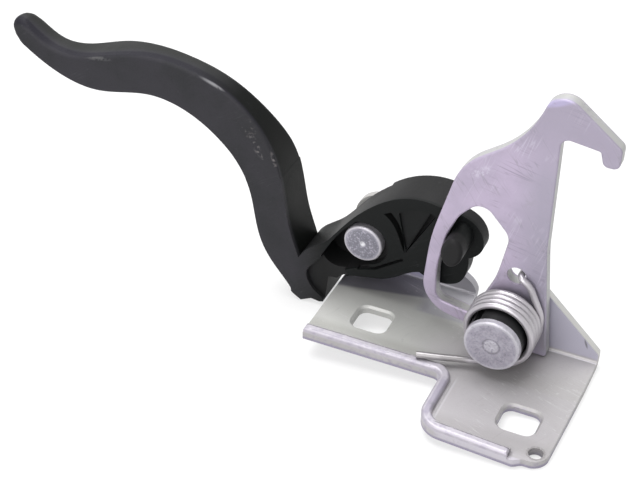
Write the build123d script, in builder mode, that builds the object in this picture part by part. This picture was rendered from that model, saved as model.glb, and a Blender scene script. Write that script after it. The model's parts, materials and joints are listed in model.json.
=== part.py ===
import math
import os

from build123d import *

# Frame: millimetres, +Z up, Z=0 on the base plate's underside.
# X=0 on the hook's pivot, Y=0 at the middle of its rivet, +Y away from the viewer.
sheet = 2.5
bend_in = 0.8
bend_out = bend_in + sheet

# Base plate outline
plate_left = -57.0
plate_right = 26.3
step_y = -13.8
step_x = -12.5
front_y = -37.9
front_slant = 1.2
corner_cut = 1.6
left_plate_right = -16.4
lip_top = 4.25
lip_wide = 3.0
slot_x = 11.0
slot_y = 10.0
slot_r = 2.8
slot_a = (-40.5, 0.5)
slot_b = (13.5, -22.0)
corner_hole = (21.9, -32.7)
corner_hole_r = 2.1

# Ears and pivots (X, Z)
hook_pin = (0.0, 14.65)
lever_pin = (-48.6, 21.3)
ear_a_left = -9.0
ear_a_top = 23.65
ear_a_y = 10.0
ear_b_y = 24.8
ear_b_r = 8.3

# Catch hook: one 4 mm plate in front of its ear
hook_back = ear_a_y - 0.4
hook_front = hook_back - 4.0
foot_z = 2.8
hook_hole_r = 2.9
hook_hole = (1.0, 29.2)

# Pivot hardware
run_fit = 0.05
bush_r = 8.34
bush_wall = 2.3
bush_slot = 2.6
bush_slot_turn = 132
hook_head_r = bush_r
hook_head_y = -10.0
hook_head_t = 2.0
shoulder_r = bush_r - bush_wall - run_fit
hook_shank_r = shoulder_r - 2.0
lever_head_r = 6.2
lever_head_y = 10.5
lever_head_t = 2.6
lever_shank_r = 3.2
tail_t = 1.8

# Torsion spring
wire = 2.0
coil_r = bush_r + 0.45 + wire / 2
coil_pitch = wire + 0.03
coil_turns = 4.25
coil_y = -4.7

# Moulded lever
lever_front = ear_a_y + 0.3
rail_back = lever_front + 11.0
root_back = ear_b_y - 0.3
arm_back = lever_front + 4.5
pad_back = lever_front + 12.8
seat_r = lever_head_r + 2.2
sleeve_r = lever_shank_r + 2.4
peg_y = 0.5
peg_at = (-17.35, 34.35)
peg_w = 6.5
peg_h = 9.8
peg_lean = -8


# Steel bracket: base plate, two ears, rolled front lip
with BuildPart() as bracket:
    with BuildSketch(Plane.XY):
        with BuildLine():
            back = ear_b_y - bend_in
            run = Polyline(
                (left_plate_right, back),
                (plate_left, back),
                (plate_left, step_y),
                (step_x - 3, step_y),
            )
            inner = RadiusArc(run @ 1, (step_x, step_y - 3), 3)
            down = Line(inner @ 1, (step_x, front_y + front_slant + 8))
            outer = RadiusArc(down @ 1, (step_x + 8, front_y + front_slant), -8)
            front = Line(outer @ 1, (16.6, front_y))
            ease = Spline(front @ 1, (20.0, front_y + corner_cut), tangents=[(1, 0.2), (1, 0)])
            nose = Line(ease @ 1, (plate_right - 4.9, front_y + corner_cut))
            turn = RadiusArc(nose @ 1, (plate_right - 0.9, front_y + corner_cut + 4.6), -4.9)
            side = Line(turn @ 1, (plate_right, -2.0))
            rest = Polyline(side @ 1, (plate_right, ear_a_y - bend_in), (ear_a_left, ear_a_y - bend_in))
            Spline(rest @ 1, (-13.4, 17.2), (left_plate_right, back), tangents=[(0, 1), (0, 1)])
        make_face()
    extrude(amount=sheet)
    # Mounting slots and the corner hole
    with BuildSketch(Plane.XY):
        with Locations(slot_a, slot_b):
            RectangleRounded(slot_x, slot_y, slot_r)
        with Locations(corner_hole):
            Circle(corner_hole_r)
    extrude(amount=sheet, mode=Mode.SUBTRACT)
    rims = [
        e
        for e in bracket.edges().filter_by_position(Axis.Z, sheet - 0.01, sheet + 0.01)
        if slot_a[0] - 8 < e.center().X < slot_a[0] + 8 and abs(e.center().Y - slot_a[1]) < 6
    ]
    rims += [
        e
        for e in bracket.edges().filter_by_position(Axis.Z, sheet - 0.01, sheet + 0.01)
        if slot_b[0] - 6.5 < e.center().X < slot_b[0] + 6.5 and abs(e.center().Y - slot_b[1]) < 6
    ]
    chamfer(rims, 0.7)
    # Rolled lip along the front edges, ending short of the corner
    with BuildSketch(Plane.XY.offset(1.2)):
        half = lip_wide / 2
        with BuildLine():
            path = Line((plate_left + 0.2, step_y + half), (step_x - 3, step_y + half))
            knee = RadiusArc(path @ 1, (step_x + half, step_y - 3), 3 + half)
            fall = Line(knee @ 1, (step_x + half, front_y + front_slant + 8))
            elbow = RadiusArc(fall @ 1, (step_x + 8, front_y + front_slant + half), half - 8)
            Line(elbow @ 1, (15.4, front_y + half))
        trace(line_width=lip_wide)
    extrude(amount=lip_top - 1.2)
    crest = bracket.edges().filter_by_position(Axis.Z, lip_top - 0.01, lip_top + 0.01)
    fillet(crest, 0.9)
    # Ear of the hook, bent up at the right
    with BuildSketch(Plane.YZ.offset(ear_a_left)):
        with BuildLine():
            rise = Line((ear_a_y - bend_in, 0), (ear_a_y - bend_in, sheet))
            RadiusArc(rise @ 1, (ear_a_y, bend_out), -bend_in)
            up = Line((ear_a_y, bend_out), (ear_a_y + sheet, bend_out))
            RadiusArc(up @ 1, rise @ 0, bend_out)
        make_face()
    extrude(amount=plate_right - ear_a_left)
    with BuildSketch(Plane.XZ.offset(-ear_a_y)):
        with BuildLine():
            crown = FilletPolyline(
                (ear_a_left, bend_out),
                (ear_a_left, ear_a_top),
                (8.0, ear_a_top),
                (plate_right, 5.4),
                (plate_right, bend_out),
                radius=(8.5, 4.0, 0.8),
            )
            Line(crown @ 1, crown @ 0)
        make_face()
    extrude(amount=-sheet)
    # Ear of the lever, bent up at the back left
    with BuildSketch(Plane.YZ.offset(plate_left)):
        with BuildLine():
            foot = Line((ear_b_y - bend_in, 0), (ear_b_y - bend_in, sheet))
            RadiusArc(foot @ 1, (ear_b_y, bend_out), -bend_in)
            head = Line((ear_b_y, bend_out), (ear_b_y + sheet, bend_out))
            RadiusArc(head @ 1, foot @ 0, bend_out)
        make_face()
    extrude(amount=left_plate_right - plate_left)
    with BuildSketch(Plane.XZ.offset(-ear_b_y)):
        with BuildLine():
            px, pz = lever_pin
            up_b = Line((plate_left, bend_out), (plate_left, pz + 1.2))
            cap_b = ThreePointArc(up_b @ 1, (px - 0.5, pz + ear_b_r), (px + 7.0, pz + 4.6))
            down_b = Line(cap_b @ 1, (-21.0, 8.6))
            toe = Spline(down_b @ 1, (left_plate_right, bend_out), tangents=[(1, -0.6), (0.2, -1)])
            Line(toe @ 1, up_b @ 0)
        make_face()
    extrude(amount=-sheet)
    # Pin holes
    with BuildSketch(Plane.XZ.offset(-ear_a_y + 1)):
        with Locations(hook_pin):
            Circle(hook_shank_r)
    extrude(amount=-6, mode=Mode.SUBTRACT)
    with BuildSketch(Plane.XZ.offset(-ear_b_y + 1)):
        with Locations(lever_pin):
            Circle(lever_shank_r)
    extrude(amount=-5, mode=Mode.SUBTRACT)
bracket.part.label = "bracket"

# Catch hook, cut from 4 mm plate
with BuildPart() as catch_hook:
    with BuildSketch(Plane.XZ.offset(-hook_back)):
        with BuildLine():
            FilletPolyline(
                (6.9, 93.0),
                (25.6, 78.1),
                (25.4, 71.9),
                (21.0, 71.9),
                (19.9, 76.2),
                (9.2, 77.7),
                (8.8, 40.0),
                (12.1, foot_z),
                (6.3, foot_z),
                (-27.9, 10.1),
                (-25.5, 35.0),
                (-17.9, 62.0),
                (0.0, 74.6),
                radius=(5.6, 2.2, 1.9, 1.9, 0.8, 2.4, 60, 0.9, 2, 10.6, 70, 20, 33),
                close=True,
            )
        make_face()
    extrude(amount=hook_back - hook_front)
    # Window for the lever's peg
    with BuildSketch(Plane.XZ.offset(-hook_back)):
        with BuildLine():
            FilletPolyline(
                (-10.9, 51.4),
                (-2.1, 41.6),
                (-5.0, 26.5),
                (-11.75, 10.9),
                (-22.9, 13.0),
                (-23.0, 24.5),
                (-20.9, 36.0),
                (-17.5, 44.3),
                radius=(4.2, 5, 40, 2.2, 3.4, 30, 20, 12),
                close=True,
            )
        make_face()
    extrude(amount=hook_back - hook_front, mode=Mode.SUBTRACT)
    outline = [
        e
        for e in catch_hook.edges()
        if e.bounding_box().size.Y < 0.01 and e.length > 0.5
    ]
    fillet(outline, 0.55)
    # Pivot bore and the spring's hole
    with BuildSketch(Plane.XZ.offset(-hook_back)):
        with Locations(hook_pin):
            Circle(shoulder_r + run_fit)
        with Locations(hook_hole):
            Circle(hook_hole_r)
    extrude(amount=hook_back - hook_front, mode=Mode.SUBTRACT)
catch_hook.part.label = "catch_hook"

# Shouldered rivet of the hook: head, shoulder, shank and riveted tail
with BuildPart() as hook_rivet:
    hx, hz = hook_pin
    with BuildSketch(Plane.XZ.offset(-hook_head_y)):
        with Locations(hook_pin):
            Circle(hook_head_r)
    extrude(amount=-hook_head_t)
    rim = hook_rivet.edges().filter_by_position(Axis.Y, hook_head_y - 0.01, hook_head_y + 0.01)
    fillet(rim, 0.6)
    with BuildSketch(Plane.XZ.offset(-hook_head_y - hook_head_t)):
        with Locations(hook_pin):
            Circle(shoulder_r)
    extrude(amount=-(ear_a_y - 0.05 - hook_head_y - hook_head_t))
    with BuildSketch(Plane.XZ.offset(-ear_a_y + 0.05)):
        with Locations(hook_pin):
            Circle(hook_shank_r)
    extrude(amount=-(0.05 + sheet))
    with BuildSketch(Plane.XZ.offset(-ear_a_y - sheet)):
        with Locations(hook_pin):
            Circle(6.2)
    extrude(amount=-tail_t)
    end_y = ear_a_y + sheet + tail_t
    tail = hook_rivet.edges().filter_by_position(Axis.Y, end_y - 0.01, end_y + 0.01)
    fillet(tail, 1.0)
    # Shallow centre mark in the head
    with BuildSketch(Plane.XZ.offset(-hook_head_y)):
        with Locations(hook_pin):
            Circle(2.3)
    extrude(amount=-0.4, mode=Mode.SUBTRACT)
hook_rivet.part.label = "hook_rivet"

# Plastic bush that carries the coils, slotted along one side
with BuildPart() as spring_bush:
    with BuildSketch(Plane.XZ.offset(-(hook_head_y + hook_head_t + 0.05))):
        with Locations(hook_pin):
            Circle(bush_r)
            Circle(shoulder_r + run_fit, mode=Mode.SUBTRACT)
    extrude(amount=-(hook_front - 0.1 - (hook_head_y + hook_head_t + 0.05)))
    slot_at = math.radians(bush_slot_turn)
    slot_reach = bush_r - bush_wall / 2
    with BuildSketch(Plane.XZ.offset(-(hook_head_y + hook_head_t + 0.05))):
        with Locations((hook_pin[0] + slot_reach * math.cos(slot_at), hook_pin[1] + slot_reach * math.sin(slot_at))):
            Rectangle(bush_wall + 2, bush_slot, rotation=bush_slot_turn)
    extrude(amount=-(hook_front - (hook_head_y + hook_head_t)), mode=Mode.SUBTRACT)
spring_bush.part.label = "spring_bush"

# Torsion spring: coils round the bush, front leg over the lip, rear leg into the hook
axle_z = hook_pin[1]
corner_r = coil_r / math.cos(math.pi / 8)
steps = [math.pi * (k + 0.5) / 4 for k in range(round(8 * coil_turns))]
coil_corners = [
    (corner_r * math.sin(a), coil_y + coil_pitch * a / (2 * math.pi), axle_z - corner_r * math.cos(a))
    for a in steps
]
coil_end = coil_y + coil_pitch * coil_turns
low_z = axle_z - coil_r
front_leg = [
    (-21.4, -12.0, lip_top + wire / 2 + 0.2),
    (-14.8, -10.1, lip_top + wire / 2 + 0.15),
    (-6.6, -7.2, low_z + 0.15),
    (-1.6, coil_y - 0.35, low_z),
]
rear_leg = [
    (coil_r, coil_end + 0.05, axle_z + 4.0),
    (5.6, coil_end + 0.2, axle_z + 13.5),
    (hook_hole[0] + 1.4, hook_front - wire / 2 - 0.3, hook_hole[1] + 0.75),
    (hook_hole[0] + 1.4, hook_back - 0.4, hook_hole[1] + 0.6),
]
bends = [20, 8, 4] + [0.96 * coil_r] * len(coil_corners) + [8, 6, 1.6]
with BuildPart() as torsion_spring:
    with BuildLine():
        path = FilletPolyline(*front_leg, *coil_corners, *rear_leg, radius=bends)
    with BuildSketch(Plane(origin=path @ 0, z_dir=path % 0)):
        Circle(wire / 2)
    sweep(path=path)
torsion_spring.part.label = "torsion_spring"

# Release lever: one moulding with handle, root, ribs, arm and peg
with BuildPart() as release_lever:
    # Handle and root in side view
    with BuildSketch(Plane.XZ.offset(-lever_front)):
        with BuildLine():
            low = Spline(
                (-165.5, 63.4),
                (-155.0, 56.4),
                (-139.0, 52.2),
                (-119.0, 55.4),
                (-99.0, 48.3),
                (-90.5, 39.6),
                (-86.1, 29.3),
                (-79.6, 5.8),
                (-72.6, -4.0),
                (-69.2, -7.0),
                tangents=[(0.6, -0.5), (0.8, -0.45)],
            )
            heel = Polyline(
                low @ 1,
                (-65.6, -5.2),
                (-62.8, -5.6),
                (-61.5, -5.2),
                (-60.3, 4.3),
                (-57.0, 12.0),
                (-56.4, 23.4),
            )
            saddle = Spline(heel @ 1, (-61.6, 17.6), (-69.9, 9.4), tangents=[(-0.6, -0.75), (-0.4, -1)])
            crest_l = Spline(
                saddle @ 1,
                (-72.8, 19.2),
                (-76.9, 42.0),
                (-83.0, 53.4),
                (-93.0, 62.4),
                (-104.8, 66.8),
                (-118.0, 68.2),
                (-132.4, 65.4),
                (-146.0, 62.0),
                (-154.0, 62.8),
                (-162.3, 67.9),
                tangents=[(-0.3, 1), (-0.8, 0.5)],
            )
            ThreePointArc(crest_l @ 1, (-168.3, 68.0), low @ 0)
        make_face()
    extrude(amount=-(root_back - lever_front))
    # Thickness of the handle in plan, with a rounded tip
    with BuildSketch(Plane.XY):
        with BuildLine():
            tip_y = (18.6 + lever_front) / 2
            end_r = ThreePointArc((-169.2, tip_y), (-168.0, 17.4), (-165.0, 18.6))
            plan = Spline(
                end_r @ 1,
                (-148.0, 19.4),
                (-136.3, 21.6),
                (-122.0, 19.6),
                (-99.0, 18.2),
                (-88.0, 18.9),
                (-80.9, 21.1),
                (-74.0, root_back + 0.1),
                tangents=[(1, 0), (1, 0.4)],
            )
            Polyline(plan @ 1, (-74.0, root_back + 3), (-175.0, root_back + 3), (-175.0, tip_y), end_r @ 0)
        make_face()
        with BuildLine():
            end_f = ThreePointArc((-169.2, tip_y), (-168.0, lever_front + 1.2), (-165.0, lever_front - 0.01))
            Polyline(end_f @ 1, (-165.0, lever_front - 3), (-175.0, lever_front - 3), (-175.0, tip_y), end_f @ 0)
        make_face()
    extrude(amount=100, both=True, mode=Mode.SUBTRACT)
    # Body with the ribs
    with BuildSketch(Plane.XZ.offset(-lever_front)):
        with BuildLine():
            arch = Spline(
                (-69.7, 8.9),
                (-60.9, 17.9),
                (-52.7, 28.9),
                (-46.4, 35.4),
                (-37.1, 41.4),
                (-24.8, 42.2),
            )
            drop = Line(arch @ 1, (-24.8, 16.3))
            belly_l = Spline(
                drop @ 1,
                (-29.5, 17.1),
                (-34.5, 14.8),
                (-39.2, 11.6),
                (-45.1, 9.7),
                (-52.0, 8.2),
                (-57.4, 4.6),
            )
            Polyline(belly_l @ 1, (-60.3, 4.3), (-61.5, -5.2), (-66.0, 0.0), (-69.7, 8.9))
        make_face()
    extrude(amount=-(rail_back - lever_front))
    # Deeper back of the arch over the arm
    with BuildSketch(Plane.XZ.offset(-rail_back + 1)):
        with BuildLine():
            brow_l = Spline((-44.0, 37.3), (-37.1, 41.6), (-31.0, 43.4), (-24.8, 43.4))
            Polyline(brow_l @ 1, (-24.8, 30.0), (-38.0, 30.0), brow_l @ 0)
        make_face()
    extrude(amount=-(pad_back - rail_back + 1))
    # Arm end, thinner
    with BuildSketch(Plane.XZ.offset(-lever_front)):
        with BuildLine():
            shoulder = Spline((-30.0, 42.1), (-20.0, 41.9), (-13.2, 38.8), (-10.9, 34.2), (-15.0, 27.0))
            lobe = Spline(shoulder @ 1, (-15.4, 21.4), (-17.3, 17.5), (-22.3, 15.4), (-30.0, 17.0))
            Line(lobe @ 1, shoulder @ 0)
        make_face()
    extrude(amount=-(arm_back - lever_front))
    # Sleeve of the pivot, as deep as the root
    with BuildSketch(Plane.XZ.offset(-lever_front - 3)):
        with Locations(lever_pin):
            Circle(sleeve_r)
    extrude(amount=-(root_back - lever_front - 3))
    # Deep pocket left of the rivet, under the thin upper rib
    with BuildSketch(Plane.XZ.offset(-lever_front)):
        with BuildLine():
            rib_in = Spline((-62.3, 12.6), (-59.2, 18.3), (-54.9, 24.7), (-50.2, 29.4))
            Line(rib_in @ 1, (lever_pin[0] + 1.0, lever_pin[1]))
            low_in = Polyline((lever_pin[0] + 1.0, lever_pin[1]), (-46.0, 13.2), (-51.8, 11.2), (-54.1, 9.9))
            Spline(low_in @ 1, (-60.4, 10.4), rib_in @ 0)
        make_face()
        with Locations(lever_pin):
            Circle(sleeve_r, mode=Mode.SUBTRACT)
    extrude(amount=-9.4, mode=Mode.SUBTRACT)
    # Lower panel, set back from the root's face
    with BuildSketch(Plane.XZ.offset(-lever_front)):
        with BuildLine():
            edge_r = Spline((-66.4, 6.8), (-67.2, 4.6), (-66.6, 1.4), (-65.0, -1.1), (-62.4, -3.2))
            Polyline(edge_r @ 1, (-58.0, -8.0), (-55.5, 5.4), (-53.0, 8.6), (-55.5, 11.0), (-61.5, 13.0), edge_r @ 0)
        make_face()
    extrude(amount=-1.5, mode=Mode.SUBTRACT)
    # Narrow crescent pocket right of the rivet
    with BuildSketch(Plane.XZ.offset(-lever_front)):
        with BuildLine():
            bow_in = Spline((-42.0, 34.6), (-37.9, 30.0), (-36.2, 25.6), (-35.0, 22.4))
            Spline(bow_in @ 1, (-35.3, 26.6), (-36.6, 31.4), (-39.7, 35.8))
            Line((-39.7, 35.8), bow_in @ 0)
        make_face()
    extrude(amount=-8.6, mode=Mode.SUBTRACT)
    # Sunk triangular panel with a groove along its right side
    with BuildSketch(Plane.XZ.offset(-lever_front)):
        with BuildLine():
            roof = Spline((-37.2, 36.3), (-34.0, 38.3), (-30.6, 39.1), (-27.6, 38.8))
            Polyline(roof @ 1, (-34.6, 23.4), (-35.6, 28.4), roof @ 0)
        make_face()
    extrude(amount=-0.8, mode=Mode.SUBTRACT)
    with BuildSketch(Plane.XZ.offset(-lever_front)):
        Polygon((-34.9, 22.4), (-34.2, 23.4), (-25.8, 38.2), (-27.4, 39.2), align=None)
    extrude(amount=-3.4, mode=Mode.SUBTRACT)
    # Groove between the seat's wall and the lower rib
    with BuildSketch(Plane.XZ.offset(-lever_front)):
        Polygon((-50.0, 11.3), (-44.0, 13.2), (-35.2, 19.4), (-35.6, 20.2), (-44.4, 14.2), (-50.0, 12.4), align=None)
    extrude(amount=-2.0, mode=Mode.SUBTRACT)
    # Seat round the rivet head, and the bore
    with BuildSketch(Plane.XZ.offset(-lever_front)):
        with Locations(lever_pin):
            Circle(lever_head_r + 0.9)
        with Locations((lever_pin[0] + 0.8, lever_pin[1] + 0.6)):
            Circle(seat_r - 0.9)
        with BuildLine():
            wall = Spline((-58.0, 22.4), (-54.9, 24.7), (-50.2, 29.4), (-44.0, 33.6))
            Polyline(wall @ 1, (-58.0, 36.0), wall @ 0)
        make_face(mode=Mode.SUBTRACT)
    extrude(amount=-(lever_head_y + lever_head_t + run_fit - lever_front), mode=Mode.SUBTRACT)
    with BuildSketch(Plane.XZ.offset(-lever_front)):
        with Locations(lever_pin):
            Circle(lever_shank_r + run_fit)
    extrude(amount=-(root_back - lever_front), mode=Mode.SUBTRACT)
    # Peg that works in the hook's window
    with BuildSketch(Plane.XZ.offset(-peg_y)):
        with Locations(peg_at):
            Ellipse(peg_w / 2, peg_h / 2, rotation=peg_lean)
    extrude(amount=-(lever_front + 1 - peg_y))
    fillet(release_lever.edges().filter_by_position(Axis.Y, peg_y - 0.01, peg_y + 0.01), 1.3)
release_lever.part.label = "release_lever"

# Rivet of the lever: flat head in the hub's seat, shank through the ear, riveted tail
with BuildPart() as lever_rivet:
    with BuildSketch(Plane.XZ.offset(-lever_head_y)):
        with Locations(lever_pin):
            Circle(lever_head_r)
    extrude(amount=-lever_head_t)
    brow = lever_rivet.edges().filter_by_position(Axis.Y, lever_head_y - 0.01, lever_head_y + 0.01)
    fillet(brow, 0.7)
    with BuildSketch(Plane.XZ.offset(-(lever_head_y + lever_head_t))):
        with Locations(lever_pin):
            Circle(lever_shank_r)
    extrude(amount=-(ear_b_y + sheet - lever_head_y - lever_head_t))
    with BuildSketch(Plane.XZ.offset(-(ear_b_y + sheet))):
        with Locations(lever_pin):
            Circle(5.2)
    extrude(amount=-tail_t)
    tail_y = ear_b_y + sheet + tail_t
    fillet(lever_rivet.edges().filter_by_position(Axis.Y, tail_y - 0.01, tail_y + 0.01), 1.0)
    with BuildSketch(Plane.XZ.offset(-lever_head_y)):
        with Locations(lever_pin):
            Circle(1.0)
    extrude(amount=-0.3, mode=Mode.SUBTRACT)
lever_rivet.part.label = "lever_rivet"

os.makedirs("parts", exist_ok=True)
export_step(bracket.part, "parts/bracket.step")
export_step(catch_hook.part, "parts/catch_hook.step")
export_step(release_lever.part, "parts/release_lever.step")
export_step(lever_rivet.part, "parts/lever_rivet.step")
export_step(hook_rivet.part, "parts/hook_rivet.step")
export_step(spring_bush.part, "parts/spring_bush.step")
export_step(torsion_spring.part, "parts/torsion_spring.step")
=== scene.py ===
import json
import math

import bmesh
import bpy
from mathutils import Matrix, Vector


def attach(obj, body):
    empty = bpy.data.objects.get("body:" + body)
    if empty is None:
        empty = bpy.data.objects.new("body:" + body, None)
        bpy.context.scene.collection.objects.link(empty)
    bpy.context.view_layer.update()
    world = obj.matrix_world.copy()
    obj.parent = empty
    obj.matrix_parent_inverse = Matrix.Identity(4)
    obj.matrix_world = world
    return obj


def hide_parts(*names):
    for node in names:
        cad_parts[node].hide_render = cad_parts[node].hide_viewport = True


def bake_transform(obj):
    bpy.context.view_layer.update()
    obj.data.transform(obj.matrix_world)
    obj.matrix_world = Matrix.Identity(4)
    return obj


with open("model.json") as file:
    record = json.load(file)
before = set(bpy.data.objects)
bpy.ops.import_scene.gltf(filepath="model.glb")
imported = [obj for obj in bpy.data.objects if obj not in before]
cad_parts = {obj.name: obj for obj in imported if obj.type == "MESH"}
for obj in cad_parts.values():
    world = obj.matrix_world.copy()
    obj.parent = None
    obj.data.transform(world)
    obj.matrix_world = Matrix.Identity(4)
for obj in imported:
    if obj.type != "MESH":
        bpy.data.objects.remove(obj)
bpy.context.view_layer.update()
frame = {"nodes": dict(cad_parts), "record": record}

mm = 0.001
alongX = (1, 0, 0)
alongY = (0, 1, 0)
alongZ = (0, 0, 1)
bodies = frame["record"]["behaviour"]["bodies"]
bodyOf = {node: body for body, nodes in bodies.items() for node in nodes}
print("frame loaded", len(frame["nodes"]), "nodes")


def makeActive(obj):
    if bpy.context.mode != "OBJECT":
        bpy.ops.object.mode_set(mode="OBJECT")
    bpy.ops.object.select_all(action="DESELECT")
    obj.select_set(True)
    bpy.context.view_layer.objects.active = obj


def newGroup(name, inputs, outputs):
    group = bpy.data.node_groups.new(name, "ShaderNodeTree")
    for label, kind, value in inputs:
        socket = group.interface.new_socket(name=label, in_out="INPUT", socket_type=kind)
        if value is not None:
            socket.default_value = value
    for label, kind in outputs:
        group.interface.new_socket(name=label, in_out="OUTPUT", socket_type=kind)
    return group, group.nodes.new("NodeGroupInput").outputs, group.nodes.new("NodeGroupOutput").inputs


def setSocket(tree, socket, value):
    if isinstance(value, bpy.types.NodeSocket):
        tree.links.new(value, socket)
    else:
        socket.default_value = value


def addMath(tree, operation, first, second, clamp=False):
    node = tree.nodes.new("ShaderNodeMath")
    node.operation = operation
    node.use_clamp = clamp
    setSocket(tree, node.inputs[0], first)
    setSocket(tree, node.inputs[1], second)
    return node.outputs[0]


def addVector(tree, operation, first, second, out="Vector"):
    node = tree.nodes.new("ShaderNodeVectorMath")
    node.operation = operation
    setSocket(tree, node.inputs[0], first)
    if second is not None:
        setSocket(tree, node.inputs[1], second)
    return node.outputs[out]


def addTurn(tree, vector, turn):
    node = tree.nodes.new("ShaderNodeVectorRotate")
    node.rotation_type = "EULER_XYZ"
    setSocket(tree, node.inputs["Vector"], vector)
    setSocket(tree, node.inputs["Rotation"], turn)
    return node.outputs[0]


def addMix(tree, factor, first, second):
    node = tree.nodes.new("ShaderNodeMix")
    node.data_type = "RGBA"
    setSocket(tree, node.inputs[0], factor)
    setSocket(tree, node.inputs[6], first)
    setSocket(tree, node.inputs[7], second)
    return node.outputs[2]


def addRange(tree, value, low, high, outLow=0.0, outHigh=1.0):
    node = tree.nodes.new("ShaderNodeMapRange")
    node.interpolation_type = "SMOOTHSTEP"
    for place, number in enumerate((value, low, high, outLow, outHigh)):
        setSocket(tree, node.inputs[place], number)
    return node.outputs[0]


# Detail and roughness of each noise
noiseValues = {
    "clouds": (4.0, 0.55), "specks": (2.0, 0.55), "rubsAndGlints": (5.0, 0.65), "lines": (1.0, 0.55),
    "patches": (2.0, 0.55), "rings": (3.0, 0.55), "tints": (4.0, 0.6), "fineGrain": (2.0, 0.55),
    "coarseGrain": (3.0, 0.55),
}


def addNoise(tree, vector, scale, kind):
    node = tree.nodes.new("ShaderNodeTexNoise")
    detail, rough = noiseValues[kind]
    for label, value in (("Vector", vector), ("Scale", scale), ("Detail", detail), ("Roughness", rough)):
        setSocket(tree, node.inputs[label], value)
    return node.outputs["Fac"]


def addBetween(tree, value, low, high, soft):
    rise = addMath(tree, "DIVIDE", addMath(tree, "SUBTRACT", value, low), soft)
    fall = addMath(tree, "DIVIDE", addMath(tree, "SUBTRACT", high, value), soft)
    inside = addMath(tree, "MINIMUM", rise, fall)
    return addMath(tree, "ADD", inside, 0.5, clamp=True)


# Where noise turns into clouds, specks, patches and broken marks, and how sharply
effectValues = {
    "clouds": (0.35, 0.68), "specks": (0.52, 0.7), "patches": (0.46, 0.62), "rubAndGlintReach": (1.0, 0.35),
    "rubAndGlintSharp": 9.0, "ringSharp": 8.0, "tintSharp": 7.0, "ringGrain": 1500.0, "tintGrain": 500.0,
    "bumpDepth": 0.3,
}


def addBroken(tree, noise, cut, sharp):
    return addMath(tree, "MULTIPLY", addMath(tree, "SUBTRACT", noise, cut), sharp, clamp=True)


def buildCloudyGroup():
    # Slow clouds of tone with fine speckle over them
    group, ins, outs = newGroup(
        "cloudyTone",
        [("Vector", "NodeSocketVector", None), ("Base", "NodeSocketColor", (0.5, 0.5, 0.5, 1)),
         ("Dark", "NodeSocketColor", (0.3, 0.3, 0.3, 1)), ("Cloud Scale", "NodeSocketFloat", 60.0),
         ("Cloud Amount", "NodeSocketFloat", 0.3), ("Speck Scale", "NodeSocketFloat", 1400.0),
         ("Speck Amount", "NodeSocketFloat", 0.2)],
        [("Color", "NodeSocketColor"), ("Mask", "NodeSocketFloat")])
    slow = addNoise(group, ins["Vector"], ins["Cloud Scale"], "clouds")
    quick = addNoise(group, ins["Vector"], ins["Speck Scale"], "specks")
    cloud = addRange(group, slow, *effectValues["clouds"])
    speck = addRange(group, quick, *effectValues["specks"])
    cloudPart = addMath(group, "MULTIPLY", cloud, ins["Cloud Amount"])
    speckPart = addMath(group, "MULTIPLY", speck, ins["Speck Amount"])
    both = addMath(group, "ADD", cloudPart, speckPart, clamp=True)
    group.links.new(addMix(group, both, ins["Base"], ins["Dark"]), outs["Color"])
    group.links.new(both, outs["Mask"])
    return group


def buildRubAndGlintGroup():
    # A patch of broken marks round one place, turned to lie along the surface: rub marks, and also painted
    # highlights
    group, ins, outs = newGroup(
        "rubAndGlintMark",
        [("Vector", "NodeSocketVector", None), ("Place", "NodeSocketVector", (0, 0, 0)),
         ("Reach", "NodeSocketVector", (0.01, 0.01, 0.01)), ("Turn", "NodeSocketVector", (0, 0, 0)),
         ("Grain", "NodeSocketFloat", 900.0), ("Cut", "NodeSocketFloat", 0.5)],
        [("Mask", "NodeSocketFloat")])
    away = addTurn(group, addVector(group, "SUBTRACT", ins["Vector"], ins["Place"]), ins["Turn"])
    share = addVector(group, "DIVIDE", away, ins["Reach"])
    near = addRange(group, addVector(group, "LENGTH", share, None, "Value"), *effectValues["rubAndGlintReach"])
    noise = addNoise(group, ins["Vector"], ins["Grain"], "rubsAndGlints")
    broken = addBroken(group, noise, ins["Cut"], effectValues["rubAndGlintSharp"])
    group.links.new(addMath(group, "MULTIPLY", near, broken), outs["Mask"])
    return group


def buildScratchGroup():
    # Thin drawn scratches in one direction, in patches
    group, ins, outs = newGroup(
        "drawnScratches",
        [("Vector", "NodeSocketVector", None), ("Turn", "NodeSocketVector", (0, 0, 0)),
         ("Stretch", "NodeSocketVector", (900.0, 900.0, 40.0)), ("Width", "NodeSocketFloat", 0.012),
         ("Patch", "NodeSocketFloat", 70.0)],
        [("Mask", "NodeSocketFloat")])
    long = addVector(group, "MULTIPLY", addTurn(group, ins["Vector"], ins["Turn"]), ins["Stretch"])
    offMiddle = addMath(group, "SUBTRACT", addNoise(group, long, 1.0, "lines"), 0.5)
    line = addRange(group, addMath(group, "ABSOLUTE", offMiddle, 0.0), 0.0, ins["Width"], 1.0, 0.0)
    broad = addNoise(group, ins["Vector"], ins["Patch"], "patches")
    patch = addRange(group, broad, *effectValues["patches"])
    group.links.new(addMath(group, "MULTIPLY", line, patch), outs["Mask"])
    return group


def buildBandGroup():
    # All that lies between two planes across one direction
    group, ins, outs = newGroup(
        "bandMask",
        [("Vector", "NodeSocketVector", None), ("Direction", "NodeSocketVector", (0, 0, 1)),
         ("Low", "NodeSocketFloat", 0.0), ("High", "NodeSocketFloat", 0.01),
         ("Soft", "NodeSocketFloat", 0.0002)],
        [("Mask", "NodeSocketFloat")])
    height = addVector(group, "DOT_PRODUCT", ins["Vector"], ins["Direction"], "Value")
    group.links.new(addBetween(group, height, ins["Low"], ins["High"], ins["Soft"]), outs["Mask"])
    return group


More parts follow.
